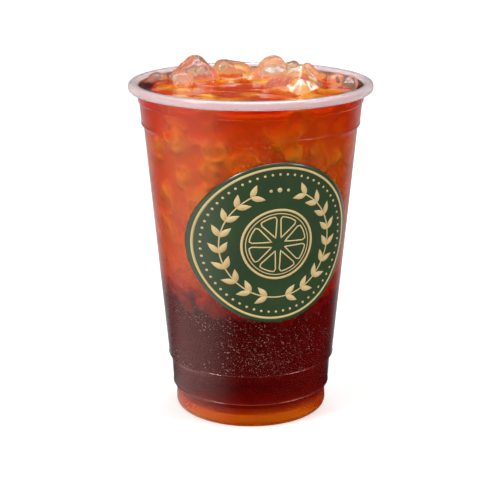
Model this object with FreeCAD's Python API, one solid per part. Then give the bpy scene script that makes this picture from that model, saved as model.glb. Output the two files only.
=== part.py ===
import FreeCAD, Part
import math
import os
from dataclasses import dataclass

# Iced tea in a tall clear plastic cup, filled nearly to the brim. Lumps of ice stand out
# of the drink, and a round badge is printed on the wall.
# Millimetres. +Z is up, -Y is the front, and the origin is the middle of the foot ring's
# underside, on the table.

# ---- cup, overall ----
CUP_HEIGHT = 137.0      # table to the top of the rolled rim
RIM_DIAMETER = 98.0     # over the rolled rim
FOOT_DIAMETER = 63.0    # over the lowest band
WALL = 0.5              # thickness of the plastic, measured level

# ---- rolled rim: the wall turns outward and down, and its tip stops short of the neck ----
RIM_WIDTH = 3.7         # from the wall's inside to the outside of the roll
RIM_DROP = 3.5          # height of the roll
RIM_ROLL = 1.4          # outside radius of the roll's corners
RIM_TIP_GAP = 0.6       # between the tip and the neck

# ---- neck and stacking band, from the top down ----
NECK_DEPTH = 7.3        # rim top to the foot of the neck
NECK_TAPER = 0.55
NECK_LEDGE = 0.55
NECK_LEDGE_DROP = 0.6
BAND_DEPTH = 8.4
BAND_TAPER = 0.8
STACK_LEDGE = 0.9
STACK_LEDGE_DROP = 1.9

# ---- foot and heel bands, from the table up ----
FOOT_CORNER = 3.8       # outside radius of the bottom corner
FOOT_TOP = 8.5          # height of the foot band's upper edge
FOOT_WAIST = 0.3        # the foot band narrows by this towards its upper edge
FOOT_LEDGE = 1.34
FOOT_LEDGE_RISE = 1.9
HEEL_TOP = 21.0
HEEL_TAPER = 0.72
HEEL_LEDGE = 1.04
HEEL_LEDGE_RISE = 2.2

# ---- underside ----
FOOT_RING = 1.7         # width of the flat ring that the cup stands on
PUNT_RISE = 3.2         # the middle of the base is raised by this
PUNT_RUN = 2.8          # level length of the slope up to it

# ---- drink ----
FILL_DROP = 2.2         # from the rim's top down to the drink

# ---- badge: a flat round print, wrapped straight back on to the wall ----
BADGE_RADIUS = 32.8
BADGE_HEIGHT = 79.7     # height of its middle
BADGE_BEARING = 15.5    # degrees from the front, towards +X
BADGE_THICKNESS = 0.2

# ---- ice ----
ICE_WALL_GAP = 0.8      # between the wall and the nearest that a lump may come
ICE_HEADROOM = 30.0     # above the rim, more than any lump stands out


@dataclass
class Lump:
    """One lump of ice: a block with its corners melted round by a ball."""
    name: str
    right: float        # place, as shares of the mouth's clear radius
    back: float
    rise: float         # highest point above the drink
    size: tuple         # width, depth and height of the block
    ball: float         # radius of the ball that rounds the corners
    turn: float = 0.0   # degrees about the upright
    tip: float = 0.0    # degrees about the left-right line
    lean: float = 0.0   # degrees about the front-back line


LUMPS = [
    Lump("ice_dome", -0.525, 0.35, 10.0, (15.0, 15.0, 15.0), 10.2, turn=8, tip=6, lean=-41),
    Lump("ice_block", -0.615, 0.00, 6.0, (7.2, 6.6, 13.0), 7.6, turn=-14, tip=8, lean=4),
    Lump("ice_back", -0.19, 0.70, 5.7, (17.5, 12.0, 16.0), 11.0, turn=-4, tip=3, lean=18),
    Lump("ice_slab", 0.135, 0.37, 10.0, (20.0, 11.0, 10.0), 10.6, turn=4, lean=-38),
    Lump("ice_corner", 0.395, -0.22, 10.0, (17.0, 19.0, 20.0), 15.0, turn=45, tip=-58, lean=8),
    Lump("ice_behind", 0.525, 0.34, 7.0, (10.5, 8.0, 10.5), 7.4, turn=8, tip=6, lean=42),
    Lump("ice_small", 0.39, 0.62, 4.9, (4.6, 5.4, 8.0), 4.8, turn=20),
    Lump("ice_pebble", 0.78, 0.17, 3.7, (6.4, 8.0, 10.0), 5.4, turn=10),
    Lump("ice_edge", 0.90, -0.04, 3.5, (5.0, 7.0, 8.0), 4.8, turn=-8),
    Lump("ice_flat", -0.885, 0.37, 1.6, (5.6, 9.0, 7.0), 5.4, turn=24),
]

# ---- values that follow from the sizes above ----
RIM_RADIUS = RIM_DIAMETER / 2
MOUTH_RADIUS = RIM_RADIUS - RIM_WIDTH
ROLL_LINE = CUP_HEIGHT - RIM_ROLL
LEVEL = CUP_HEIGHT - FILL_DROP
FLOOR = PUNT_RISE + WALL
AXIS = FreeCAD.Vector(0, 0, 1)
CENTRE = FreeCAD.Vector(0, 0, 0)


def wall_points():
    """The wall's outside, from the bottom corner up to the roll, as (radius, height)."""
    foot = FOOT_DIAMETER / 2
    neck_top = MOUTH_RADIUS + WALL
    neck_low = neck_top - NECK_TAPER
    band_top = neck_low - NECK_LEDGE
    band_low = band_top - BAND_TAPER
    neck_line = CUP_HEIGHT - NECK_DEPTH
    band_line = neck_line - NECK_LEDGE_DROP
    stack_line = band_line - BAND_DEPTH
    waist = foot - FOOT_WAIST
    heel_low = waist + FOOT_LEDGE
    heel_top = heel_low + HEEL_TAPER
    return [
        (foot, FOOT_CORNER),
        (waist, FOOT_TOP),
        (heel_low, FOOT_TOP + FOOT_LEDGE_RISE),
        (heel_top, HEEL_TOP),
        (heel_top + HEEL_LEDGE, HEEL_TOP + HEEL_LEDGE_RISE),
        (band_low - STACK_LEDGE, stack_line - STACK_LEDGE_DROP),
        (band_low, stack_line),
        (band_top, band_line),
        (neck_low, neck_line),
        (neck_top, ROLL_LINE),
    ]


def main_wall():
    """The two ends of the long straight wall between the heel and the stacking band."""
    points = wall_points()
    return points[4], points[5]


class Outline:
    """A closed half-section in the XZ plane that is turned about the upright."""

    def __init__(self, radius, height):
        self.edges = []
        self.start = FreeCAD.Vector(radius, 0, height)
        self.last = self.start

    def line(self, radius, height):
        """Straight on to a point."""
        end = FreeCAD.Vector(radius, 0, height)
        self.edges.append(Part.LineSegment(self.last, end).toShape())
        self.last = end

    def lines(self, points):
        """Straight on through several points."""
        for radius, height in points:
            self.line(radius, height)

    def arc(self, centre, radius, first, last):
        """A round stretch about a centre, from one angle to the other, in degrees."""
        def at(angle):
            turn = math.radians(angle)
            return FreeCAD.Vector(centre[0] + radius * math.cos(turn), 0,
                                  centre[1] + radius * math.sin(turn))
        end = at(last)
        self.edges.append(Part.Arc(self.last, at((first + last) / 2), end).toShape())
        self.last = end

    def turned(self):
        """The solid that the closed outline sweeps in one whole turn."""
        self.edges.append(Part.LineSegment(self.last, self.start).toShape())
        face = Part.Face(Part.Wire(self.edges))
        return face.revolve(CENTRE, AXIS, 360)


def slope_shift():
    """How far the floor's slope stands out level from the slope of the underside."""
    slant = math.hypot(PUNT_RUN, PUNT_RISE)
    return WALL * (slant - PUNT_RUN) / PUNT_RISE


def base_rings():
    """Radii of the underside: the ring's outer edge, its inner edge, the raised middle."""
    outer = FOOT_DIAMETER / 2 - FOOT_CORNER
    inner = outer - FOOT_RING
    return outer, inner, inner - PUNT_RUN


def inner_points():
    """The wall's inside, from the bottom corner up."""
    return [(radius - WALL, height) for radius, height in wall_points()]


def make_cup():
    """The clear cup: one skin with a raised base, ledged bands and a rolled rim."""
    ring_out, ring_in, middle = base_rings()
    shift = slope_shift()
    corner = (ring_out, FOOT_CORNER)
    top_out = (RIM_RADIUS - RIM_ROLL, ROLL_LINE)
    top_in = (MOUTH_RADIUS + RIM_ROLL, ROLL_LINE)
    low_out = (RIM_RADIUS - RIM_ROLL, CUP_HEIGHT - RIM_DROP + RIM_ROLL)
    tip = MOUTH_RADIUS + WALL + RIM_TIP_GAP
    skin = RIM_ROLL - WALL

    cup = Outline(0, PUNT_RISE)
    cup.lines([(middle, PUNT_RISE), (ring_in, 0), (ring_out, 0)])
    cup.arc(corner, FOOT_CORNER, -90, 0)
    cup.lines(wall_points()[1:])
    cup.arc(top_in, skin, 180, 90)
    cup.line(top_out[0], ROLL_LINE + skin)
    cup.arc(top_out, skin, 90, 0)
    cup.line(RIM_RADIUS - WALL, low_out[1])
    cup.arc(low_out, skin, 0, -90)
    cup.line(tip, low_out[1] - skin)
    cup.line(tip, low_out[1] - RIM_ROLL)
    cup.line(low_out[0], low_out[1] - RIM_ROLL)
    cup.arc(low_out, RIM_ROLL, -90, 0)
    cup.line(RIM_RADIUS, ROLL_LINE)
    cup.arc(top_out, RIM_ROLL, 0, 90)
    cup.line(top_in[0], CUP_HEIGHT)
    cup.arc(top_in, RIM_ROLL, 90, 180)
    cup.lines(reversed(inner_points()[:-1]))
    cup.arc(corner, FOOT_CORNER - WALL, 0, -90)
    cup.lines([(ring_in + shift, WALL), (middle + shift, FLOOR), (0, FLOOR)])
    return cup.turned()


def make_filling():
    """All the room in the cup up to the level of the drink."""
    ring_out, ring_in, middle = base_rings()
    shift = slope_shift()
    inside = inner_points()
    low, high = inside[-2], inside[-1]
    share = (LEVEL - low[1]) / (high[1] - low[1])
    brink = low[0] + share * (high[0] - low[0])

    room = Outline(0, FLOOR)
    room.lines([(middle + shift, FLOOR), (ring_in + shift, WALL), (ring_out, WALL)])
    room.arc((ring_out, FOOT_CORNER), FOOT_CORNER - WALL, -90, 0)
    room.lines(inside[1:-1])
    room.lines([(brink, LEVEL), (0, LEVEL)])
    return room.turned()


def clear_radius():
    """How far from the middle the ice may reach at the neck."""
    return MOUTH_RADIUS - NECK_TAPER - ICE_WALL_GAP


def clear_room():
    """The room that the ice keeps to: inside the main wall, and upright above it."""
    (low_radius, low), (high_radius, high) = main_wall()
    inset = WALL + ICE_WALL_GAP
    above = CUP_HEIGHT + ICE_HEADROOM
    room = Outline(0, low)
    room.lines([(low_radius - inset, low), (high_radius - inset, high),
                (clear_radius(), CUP_HEIGHT - NECK_DEPTH), (clear_radius(), above), (0, above)])
    return room.turned()


def make_lump(lump):
    """A block with melted corners, turned and tipped, with its top at its own rise."""
    width, depth, height = lump.size
    block = Part.makeBox(width, depth, height, FreeCAD.Vector(-width / 2, -depth / 2, -height / 2))
    ice = block.common(Part.makeSphere(lump.ball))
    ice.rotate(CENTRE, AXIS, lump.turn)
    ice.rotate(CENTRE, FreeCAD.Vector(1, 0, 0), lump.tip)
    ice.rotate(CENTRE, FreeCAD.Vector(0, 1, 0), lump.lean)
    reach = clear_radius()
    top = ice.BoundBox.ZMax
    ice.translate(FreeCAD.Vector(lump.right * reach, lump.back * reach, LEVEL + lump.rise - top))
    return ice


def make_ice():
    """Every lump, kept off the wall and cut back where it would meet one before it."""
    room = clear_room()
    made = {}
    for lump in LUMPS:
        ice = make_lump(lump).common(room)
        for other in made.values():
            if other.BoundBox.intersect(ice.BoundBox):
                ice = ice.cut(other)
        made[lump.name] = ice.Solids[0]
    return made


def make_drink(ice):
    """The tea: what fills the cup, cut round the ice that stands in it."""
    drink = make_filling()
    for lump in ice.values():
        drink = drink.cut(lump)
    return drink


def make_badge():
    """The round print: a thin skin on the main wall, inside a round bar from the front."""
    (low_radius, low), (high_radius, high) = main_wall()
    skin = Outline(low_radius, low)
    skin.lines([(low_radius + BADGE_THICKNESS, low), (high_radius + BADGE_THICKNESS, high),
                (high_radius, high)])
    bearing = math.radians(BADGE_BEARING)
    ahead = FreeCAD.Vector(math.sin(bearing), -math.cos(bearing), 0)
    bar = Part.makeCylinder(BADGE_RADIUS, RIM_DIAMETER, FreeCAD.Vector(0, 0, BADGE_HEIGHT), ahead)
    return skin.turned().common(bar)


def save(name, shape):
    """Writes one node's STEP file."""
    shape.exportStep(os.path.join("parts", name + ".step"))
    print(name, "volume", round(shape.Volume, 2), "solids", len(shape.Solids))


def main():
    os.makedirs("parts", exist_ok=True)
    ice = make_ice()
    save("cup", make_cup())
    save("drink", make_drink(ice))
    save("badge", make_badge())
    for name, lump in ice.items():
        save(name, lump)


main()
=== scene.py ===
"""Iced tea in a tall clear plastic cup: its finishes and fine shapes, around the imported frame."""

import logging
import math
import random
from dataclasses import dataclass
from enum import Enum
from typing import Callable, Sequence

import bmesh
import bpy
from bmesh.types import BMesh
from bpy.types import Material, Mesh, Node, NodeSocket, NodeTree, Object
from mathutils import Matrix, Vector, noise
from mathutils.bvhtree import BVHTree


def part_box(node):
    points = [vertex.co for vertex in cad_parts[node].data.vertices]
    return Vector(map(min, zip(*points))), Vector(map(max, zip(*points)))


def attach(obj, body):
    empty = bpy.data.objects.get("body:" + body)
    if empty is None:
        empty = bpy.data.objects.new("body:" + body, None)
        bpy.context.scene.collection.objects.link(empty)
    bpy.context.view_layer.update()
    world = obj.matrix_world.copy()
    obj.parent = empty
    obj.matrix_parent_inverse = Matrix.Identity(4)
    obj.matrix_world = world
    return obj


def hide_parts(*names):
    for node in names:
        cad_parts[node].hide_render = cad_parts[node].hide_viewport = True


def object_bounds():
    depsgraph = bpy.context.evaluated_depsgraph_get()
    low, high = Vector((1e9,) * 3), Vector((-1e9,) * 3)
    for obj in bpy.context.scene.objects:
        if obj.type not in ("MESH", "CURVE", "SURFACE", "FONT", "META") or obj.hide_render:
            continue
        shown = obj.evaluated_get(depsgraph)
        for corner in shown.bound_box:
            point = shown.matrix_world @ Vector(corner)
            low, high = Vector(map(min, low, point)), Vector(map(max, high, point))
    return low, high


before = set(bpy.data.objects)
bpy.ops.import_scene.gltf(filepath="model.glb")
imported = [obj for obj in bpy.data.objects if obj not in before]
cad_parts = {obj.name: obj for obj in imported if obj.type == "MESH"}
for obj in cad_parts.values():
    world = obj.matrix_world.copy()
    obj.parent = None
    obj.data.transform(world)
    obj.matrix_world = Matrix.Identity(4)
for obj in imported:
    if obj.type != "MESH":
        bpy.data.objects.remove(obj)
CAD_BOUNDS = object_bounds()

LOG = logging.getLogger("iced_tea")
MM = 0.001
TINY = 1e-6
WHITE = (1, 1, 1, 1)
BODY = "root"

Point = tuple[float, float]
Corner = tuple[float, float, float]
Colour = tuple[float, float, float, float]
Dress = dict["Finish", Material]
Lift = Callable[[float, float], float]


# --- plain helpers


def srgb(*screen: float) -> Colour:
    """Turns a colour written in 0 to 255 into the linear one that shaders take.

    Args:
        screen: red, green and blue as a screen shows them.
    Returns:
        The linear colour, with an alpha of 1.
    """
    shares = [value / 255 for value in screen]
    red, green, blue = [share / 12.92 if share <= 0.04045 else ((share + 0.055) / 1.055) ** 2.4
                        for share in shares]
    return red, green, blue, 1.0


def node_box(name: str) -> tuple[Vector, Vector]:
    """The lowest and highest corner of a node of the frame."""
    low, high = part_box(name)
    return Vector(low), Vector(high)


def polar(radius: float, angle: float) -> Point:
    """The point at a distance and an angle from the middle."""
    return radius * math.cos(angle), radius * math.sin(angle)


def turn_steps(count: int) -> list[float]:
    """The angles of equal steps round one turn."""
    return [math.tau * step / count for step in range(count)]


def smoothstep(low: float, high: float, value: float) -> float:
    """Rises smoothly from 0 at low to 1 at high."""
    share = min(max((value - low) / (high - low), 0.0), 1.0)
    return share * share * (3 - 2 * share)


def new_object(name: str, mesh: Mesh) -> Object:
    """Puts a mesh into the scene as an object at the origin."""
    piece = bpy.data.objects.new(name, mesh)
    bpy.context.scene.collection.objects.link(piece)
    return piece


def finished_mesh(name: str, work: BMesh) -> Mesh:
    """Ends a bmesh: its faces turned outwards and shaded smooth.

    Args:
        name: the mesh's name.
        work: the bmesh, freed here.
    Returns:
        The new mesh.
    """
    bmesh.ops.recalc_face_normals(work, faces=work.faces)
    for face in work.faces:
        face.smooth = True
    mesh = bpy.data.meshes.new(name)
    work.to_mesh(mesh)
    work.free()
    return mesh


def evaluated_copy(piece: Object, name: str) -> Mesh:
    """A plain mesh of a piece with its modifiers worked in, which replaces the piece.

    Args:
        piece: the piece, removed here.
        name: the new mesh's name.
    Returns:
        The plain mesh.
    """
    graph = bpy.context.evaluated_depsgraph_get()
    mesh = bpy.data.meshes.new_from_object(piece.evaluated_get(graph))
    mesh.name = name
    piece.modifiers.clear()
    bpy.data.objects.remove(piece)
    return mesh


def regrown(mesh: Mesh, name: str, voxel: float, rounds: int) -> Mesh:
    """Regrows loose, crossing shapes as one skin, then melts its edges.

    Args:
        mesh: the loose shapes.
        name: the new mesh's name.
        voxel: how fine the skin is.
        rounds: how often it is smoothed.
    Returns:
        The new closed mesh.
    """
    piece = new_object(name + "_rough", mesh)
    remesh = piece.modifiers.new("remesh", "REMESH")
    remesh.mode = "VOXEL"
    remesh.voxel_size = voxel
    melt = piece.modifiers.new("melt", "SMOOTH")
    melt.factor = 0.5
    melt.iterations = rounds
    skin = evaluated_copy(piece, name)
    for face in skin.polygons:
        face.use_smooth = True
    return skin


# --- outlines that are turned


def filleted(corners: Sequence[Corner], step: float = math.radians(12)) -> list[Point]:
    """Rounds the corners of an outline with true arcs.

    Args:
        corners: (radius, height, radius of the rounding) of each corner in turn.
        step: the turn between two points of an arc.
    Returns:
        The outline's points.
    """
    points = [corners[0][:2]]
    for before, corner, after in zip(corners, corners[1:], corners[2:]):
        here = Vector(corner[:2])
        back = Vector(before[:2]) - here
        ahead = Vector(after[:2]) - here
        turn = math.pi - back.angle(ahead)
        reach = min(corner[2] * math.tan(turn / 2), 0.45 * min(back.length, ahead.length))
        if reach < TINY:
            points.append(corner[:2])
            continue
        start = here + back.normalized() * reach
        end = here + ahead.normalized() * reach
        weight = math.cos(turn / 2)
        count = max(2, round(turn / step))
        for index in range(count + 1):
            share = index / count
            first = (1 - share) ** 2
            middle = 2 * share * (1 - share) * weight
            last = share ** 2
            spot = (start * first + here * middle + end * last) / (first + middle + last)
            points.append((spot.x, spot.y))
    points.append(corners[-1][:2])
    return points


def divided(points: Sequence[Point], longest: float) -> list[Point]:
    """Splits the straight runs of an outline.

    Args:
        points: the outline.
        longest: the longest run that stays whole.
    Returns:
        The outline with its new points.
    """
    result = [points[0]]
    for start, end in zip(points, points[1:]):
        count = max(1, math.ceil(math.dist(start, end) / longest))
        for index in range(1, count + 1):
            share = index / count
            result.append((start[0] + (end[0] - start[0]) * share,
                           start[1] + (end[1] - start[1]) * share))
    return result


def bridged(work: BMesh, rings: Sequence[list], columns: int) -> None:
    """Joins each ring of vertices to the next with faces.

    Args:
        work: the bmesh that gets the faces.
        rings: the rings in turn, each of them a whole ring or a single point.
        columns: how many vertices a whole ring has.
    """
    for low, high in zip(rings, rings[1:]):
        for column in range(columns):
            after = (column + 1) % columns
            loop = [low[column % len(low)], low[after % len(low)],
                    high[after % len(high)], high[column % len(high)]]
            work.faces.new(list(dict.fromkeys(loop)))


def turned(name: str, outline: Sequence[Point], columns: int, lift: Lift | None = None,
           lift_from: int = 0) -> Mesh:
    """Turns an outline that starts and ends on the axis into a closed mesh.

    Args:
        name: the mesh's name.
        outline: (radius, height) points from one end on the axis to the other.
        columns: how many steps one turn has.
        lift: what is added to the height at (x, y), for waves.
        lift_from: the first point of the outline that is lifted.
    Returns:
        The closed mesh, its faces outwards.
    """
    work = bmesh.new()
    rings = []
    for index, (radius, height) in enumerate(outline):
        ring = []
        for angle in turn_steps(columns)[:1 if radius < TINY else columns]:
            x, y = polar(radius, angle)
            extra = lift(x, y) if lift and index >= lift_from else 0.0
            ring.append(work.verts.new((x, y, height + extra)))
        rings.append(ring)
    bridged(work, rings, columns)
    return finished_mesh(name, work)


# --- shader and node helpers


class Shader:
    """A node tree with short ways to add nodes and join them."""

    def __init__(self, tree: NodeTree) -> None:
        """Takes the tree that nodes are added to."""
        self.tree = tree

    def feed(self, node: Node, inputs: dict) -> Node:
        """Sets or joins a node's inputs.

        Args:
            node: the node.
            inputs: values or sockets by input name or number.
        Returns:
            The node.
        """
        for key, value in inputs.items():
            if isinstance(value, NodeSocket):
                self.tree.links.new(value, node.inputs[key])
            else:
                node.inputs[key].default_value = value
        return node

    def node(self, kind: str, inputs: dict | None = None, **settings: object) -> Node:
        """Adds one node.

        Args:
            kind: the node's type name.
            inputs: values or sockets by input name or number.
            settings: properties of the node.
        Returns:
            The node.
        """
        node = self.tree.nodes.new(kind)
        for key, value in settings.items():
            setattr(node, key, value)
        return self.feed(node, inputs or {})

    def math(self, operation: str, *values: object) -> NodeSocket:
        """One Math node's result for numbers or sockets."""
        return self.node("ShaderNodeMath", dict(enumerate(values)), operation=operation).outputs[0]

    def plus(self, first: object, second: object) -> NodeSocket:
        """The sum of two values."""
        return self.math("ADD", first, second)

    def times(self, first: object, second: object) -> NodeSocket:
        """The product of two values."""
        return self.math("MULTIPLY", first, second)

    def larger(self, first: object, second: object) -> NodeSocket:
        """The larger of two values."""
        return self.math("MAXIMUM", first, second)

    def rest(self, share: object) -> NodeSocket:
        """What a share leaves of 1."""
        return self.math("SUBTRACT", 1.0, share)

    def ranged(self, value: object, low: float, high: float, to_low: float = 0.0,
               to_high: float = 1.0) -> NodeSocket:
        """Maps a value smoothly from one range to another, and holds it at the ends.

        Args:
            value: the value.
            low, high: the range that it comes from.
            to_low, to_high: the range that it goes to.
        Returns:
            The mapped value.
        """
        return self.node("ShaderNodeMapRange", {
            "Value": value, "From Min": low, "From Max": high, "To Min": to_low,
            "To Max": to_high}, interpolation_type="SMOOTHSTEP").outputs["Result"]

    def noise(self, where: object, scale: float, detail: float = 2.0,
              roughness: float = 0.5) -> NodeSocket:
        """A noise texture's value."""
        return self.node("ShaderNodeTexNoise", {"Vector": where, "Scale": scale, "Detail": detail,
                                                "Roughness": roughness}).outputs["Fac"]

    def mixed(self, share: object, first: object, second: object) -> NodeSocket:
        """A colour between two others."""
        return self.node("ShaderNodeMix", {0: share, 6: first, 7: second},
                         data_type="RGBA").outputs[2]

    def place(self) -> NodeSocket:
        """The piece's own coordinates."""
        return self.node("ShaderNodeTexCoord").outputs["Object"]

    def group(self, tree: NodeTree, inputs: dict) -> dict:
        """The outputs of a node group, placed with its own values."""
        return self.node("ShaderNodeGroup", inputs, node_tree=tree).outputs

    def bump(self, height: object, distance: float, strength: float = 1.0,
             normal: NodeSocket | None = None) -> NodeSocket:
        """Bends the normal by a height.

        Args:
            height: the height.
            distance: how far a height of 1 stands off.
            strength: the share of the bend that counts.
            normal: another bend that this one lies over.
        Returns:
            The normal.
        """
        bend = {"Height": height, "Distance": distance, "Strength": strength}
        return self.node("ShaderNodeBump", bend | ({"Normal": normal} if normal else {})).outputs[0]


class Group(Shader):
    """A node group with named inputs and outputs."""

    def __init__(self, name: str, kind: str, inputs: dict, outputs: dict) -> None:
        """Starts the group.

        Args:
            name: the group's name.
            kind: the type of its tree.
            inputs: (socket type, default) of each input by name.
            outputs: the socket type of each output by name.
        """
        super().__init__(bpy.data.node_groups.new(name, kind))
        self.sockets = {}
        for label, (socket_type, default) in inputs.items():
            socket = self.tree.interface.new_socket(
                name=label, in_out="INPUT", socket_type="NodeSocket" + socket_type)
            if default is not None:
                socket.default_value = default
            self.sockets[label] = socket.identifier
        for label, socket_type in outputs.items():
            self.tree.interface.new_socket(
                name=label, in_out="OUTPUT", socket_type="NodeSocket" + socket_type)
        self.source = self.node("NodeGroupInput").outputs
        self.result = self.node("NodeGroupOutput")


class Effect(Group):
    """A shader node group of plain numbers, which several finishes share."""

    def __init__(self, name: str, inputs: dict[str, float], outputs: Sequence[str]) -> None:
        """Starts the group with each input's default by name, and its outputs' names."""
        super().__init__(name, "ShaderNodeTree",
                         {label: ("Float", default) for label, default in inputs.items()},
                         {label: "Float" for label in outputs})

    def given(self, **outputs: NodeSocket) -> NodeTree:
        """Ends the group: joins its outputs, and gives its tree."""
        self.feed(self.result, outputs)
        return self.tree


def new_material(name: str) -> tuple[Material, Shader]:
    """An empty node material and the shader that fills it."""
    material = bpy.data.materials.new(name)
    material.use_nodes = True
    material.node_tree.nodes.clear()
    return material, Shader(material.node_tree)


def melt_group() -> NodeTree:
    """Soft dimples and fine ripples of something wet that has melted round."""
    effect = Effect("melt_dimples", {"Dimple Scale": 120.0, "Fine Scale": 600.0,
                                     "Fine Share": 0.25}, ["Height"])
    place = effect.place()
    coarse = effect.noise(place, effect.source["Dimple Scale"], 1.0)
    fine = effect.noise(place, effect.source["Fine Scale"], 2.0)
    return effect.given(Height=effect.plus(coarse, effect.times(fine, effect.source["Fine Share"])))


def fog_group() -> NodeTree:
    """Patches of fine condensation: a mask that is 1 where the fog is thick, and its dots."""
    effect = Effect("condensation_fog", {"Patch Scale": 28.0, "Grain Scale": 900.0},
                    ["Mask", "Height"])
    place = effect.place()
    patches = effect.ranged(effect.noise(place, effect.source["Patch Scale"], 3.0), 0.42, 0.68)
    cells = effect.node("ShaderNodeTexVoronoi", {"Vector": place,
                                                 "Scale": effect.source["Grain Scale"]})
    dots = effect.ranged(cells.outputs["Distance"], 0.12, 0.42, 1.0, 0.0)
    return effect.given(Mask=patches, Height=effect.times(patches, dots))


def ink_group() -> NodeTree:
    """Ink that lies a little unevenly: soft patches of tone, and a fine tooth."""
    effect = Effect("uneven_ink", {"Patch Scale": 60.0, "Tooth Scale": 2600.0},
                    ["Mask", "Height"])
    place = effect.place()
    patches = effect.noise(place, effect.source["Patch Scale"], 4.0, 0.6)
    return effect.given(Mask=effect.ranged(patches, 0.3, 0.7),
                        Height=effect.noise(place, effect.source["Tooth Scale"], 1.0))


# --- finishes


@dataclass(frozen=True)
class ClearFinish:
    """Something clear that lets lamps through: plastic, tea, ice or water."""
    name: str
    colour: Colour
    ior: float
    roughness: float
    transmission: float = 1.0
    dimple_scale: float = 120.0
    fine_scale: float = 600.0
    relief: float = 0.0
    fog: float = 0.0
    fog_beads: float = 0.0
    absorbs: Colour | None = None
    density: float = 0.0

    def build(self, groups: dict[str, NodeTree]) -> Material:
        """Makes the material.

        Args:
            groups: the shared effect groups by name.
        Returns:
            The material.
        """
        material, shader = new_material(self.name)
        values = {"Base Color": self.colour, "IOR": self.ior, "Roughness": self.roughness,
                  "Transmission Weight": self.transmission}
        if self.fog:
            fog = shader.group(groups["fog"], {})
            values["Roughness"] = shader.ranged(fog["Mask"], 0.0, 1.0, self.roughness,
                                                self.roughness + self.fog)
            values["Normal"] = shader.bump(fog["Height"], self.fog_beads)
        if self.relief:
            melt = shader.group(groups["melt"], {"Dimple Scale": self.dimple_scale,
                                                 "Fine Scale": self.fine_scale})
            values["Normal"] = shader.bump(melt["Height"], self.relief,
                                           normal=values.get("Normal"))
        body = shader.node("ShaderNodeBsdfPrincipled", values)
        clear = shader.node("ShaderNodeBsdfTransparent", {"Color": self.colour})
        path = shader.node("ShaderNodeLightPath")
        mix = shader.node("ShaderNodeMixShader", {0: path.outputs["Is Shadow Ray"],
                                                  1: body.outputs[0], 2: clear.outputs[0]})
        out = shader.node("ShaderNodeOutputMaterial", {"Surface": mix.outputs[0]})
        if self.absorbs:
            volume = shader.node("ShaderNodeVolumeAbsorption", {"Color": self.absorbs,
                                                                "Density": self.density})
            shader.feed(out, {"Volume": volume.outputs[0]})
        return material


@dataclass(frozen=True)
class CloudyIceFinish:
    """Ice under the drink: white and soft, with clearer and cloudier patches."""
    name: str
    pale: Colour
    deep: Colour
    cloud_scale: float = 75.0
    cloud_from: float = 0.34
    cloud_to: float = 0.56
    dimple_scale: float = 90.0
    relief: float = 0.5 * MM
    light_reach: float = 3.0 * MM

    def build(self, groups: dict[str, NodeTree]) -> Material:
        """Makes the material from the shared effect groups."""
        material, shader = new_material(self.name)
        melt = shader.group(groups["melt"], {"Dimple Scale": self.dimple_scale})
        cloud = shader.ranged(shader.noise(shader.place(), self.cloud_scale, 5.0, 0.62),
                              self.cloud_from, self.cloud_to)
        body = shader.node("ShaderNodeBsdfPrincipled", {
            "Base Color": shader.mixed(cloud, self.deep, self.pale), "Roughness": 0.5,
            "IOR": 1.31, "Subsurface Weight": 0.6, "Subsurface Radius": (1.0, 1.0, 1.0),
            "Subsurface Scale": self.light_reach,
            "Normal": shader.bump(melt["Height"], self.relief)})
        shader.node("ShaderNodeOutputMaterial", {"Surface": body.outputs[0]})
        return material


@dataclass(frozen=True)
class PrintFinish:
    """Ink on the plastic: satin, a little uneven, with a thin gloss over it."""
    name: str
    colour: Colour
    uneven: Colour
    roughness: float
    coat: float
    damp: float = 0.12
    tooth: float = 0.01 * MM

    def build(self, groups: dict[str, NodeTree]) -> Material:
        """Makes the material from the shared effect groups."""
        material, shader = new_material(self.name)
        ink = shader.group(groups["ink"], {})
        fog = shader.group(groups["fog"], {})
        rough = shader.ranged(fog["Mask"], 0.0, 1.0, self.roughness, self.roughness + self.damp)
        body = shader.node("ShaderNodeBsdfPrincipled", {
            "Base Color": shader.mixed(ink["Mask"], self.colour, self.uneven),
            "Roughness": rough, "IOR": 1.5, "Coat Weight": self.coat, "Coat Roughness": 0.12,
            "Normal": shader.bump(ink["Height"], self.tooth, 0.4)})
        shader.node("ShaderNodeOutputMaterial", {"Surface": body.outputs[0]})
        return material


class Finish(Enum):
    """Every finish of the object."""
    WALL = ClearFinish("clear_plastic_wall", srgb(252, 250, 250), 1.42, 0.10, relief=0.05 * MM,
                       dimple_scale=60.0, fine_scale=300.0, fog=0.07, fog_beads=0.05 * MM)
    RIM = ClearFinish("clear_plastic_rim", srgb(246, 236, 238), 1.46, 0.12, transmission=0.72)
    BASE = ClearFinish("clear_plastic_base", srgb(252, 248, 246), 1.42, 0.9, transmission=0.72,
                       relief=0.2 * MM, dimple_scale=300.0)
    TEA = ClearFinish("iced_tea", srgb(255, 255, 255), 1.33, 0.0, relief=0.12 * MM,
                      dimple_scale=150.0, absorbs=(0.961, 0.745, 0.05, 1.0), density=900.0)
    ICE = ClearFinish("melting_ice", srgb(255, 248, 236), 1.31, 0.0, transmission=0.86,
                      relief=0.45 * MM, dimple_scale=230.0, fine_scale=700.0)
    DROPLET = ClearFinish("condensation", srgb(250, 236, 232), 1.33, 0.3, transmission=0.8)
    SUNK_ICE = CloudyIceFinish("ice_in_the_tea", srgb(206, 174, 142), srgb(160, 98, 62))
    GREEN = PrintFinish("badge_green", srgb(54, 79, 44), srgb(48, 71, 41), 0.34, 1.0)
    GOLD = PrintFinish("badge_gold", srgb(228, 200, 142), srgb(216, 186, 128), 0.42, 0.15)


# --- the cup


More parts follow.
